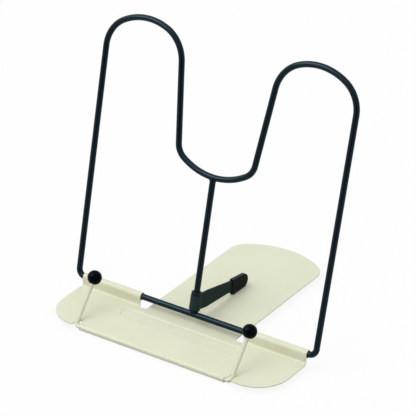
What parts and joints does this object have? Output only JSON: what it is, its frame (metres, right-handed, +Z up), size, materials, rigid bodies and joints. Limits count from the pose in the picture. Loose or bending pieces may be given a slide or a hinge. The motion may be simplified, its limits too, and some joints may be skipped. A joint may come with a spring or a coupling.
{
  "type": "book display stand",
  "caption": "Tabletop stand that holds a book or tablet upright: pressed sheet tray, folding bent-wire back frame with a swivel prop arm, and a swinging page holder with ball tips.",
  "frame": {"origin": "on the table under the middle of the stand's outline", "axes": "+X to the right seen from the front, +Y to the back, +Z up"},
  "size_m": [0.2342, 0.1906, 0.225],
  "materials": {
    "cream_enamel": "semi-gloss cream paint",
    "black_enamel": "glossy blue-black paint",
    "black_rubber": "matte",
    "black_plastic": "gloss"
  },
  "bodies": {
    "base": {"base_plate": "cream_enamel", "rubber_feet": "black_rubber"},
    "back_frame": {"frame_wire": "black_enamel", "centre_strut": "black_enamel"},
    "prop": {"prop_arm": "black_enamel", "rubber_tip": "black_rubber"},
    "page_holder": {"holder_wire": "cream_enamel", "ball_left": "black_plastic", "ball_right": "black_plastic"}
  },
  "joints": [
    {"name": "frame_fold", "type": "hinge", "parent": "base", "child": "back_frame", "pos_m": [0, -0.04005, 0.0118], "axis": [1, 0, 0], "range_deg": [0, 105]},
    {"name": "prop_swivel", "type": "hinge", "parent": "back_frame", "child": "prop", "pos_m": [0, -0.04005, 0.0118], "axis": [0, 0.2622, 0.965], "range_deg": [-88, 91]},
    {"name": "page_holder_swing", "type": "hinge", "parent": "base", "child": "page_holder", "pos_m": [0, -0.09255, 0.00285], "axis": [1, 0, 0], "range_deg": [-5, 120]}
  ]
}
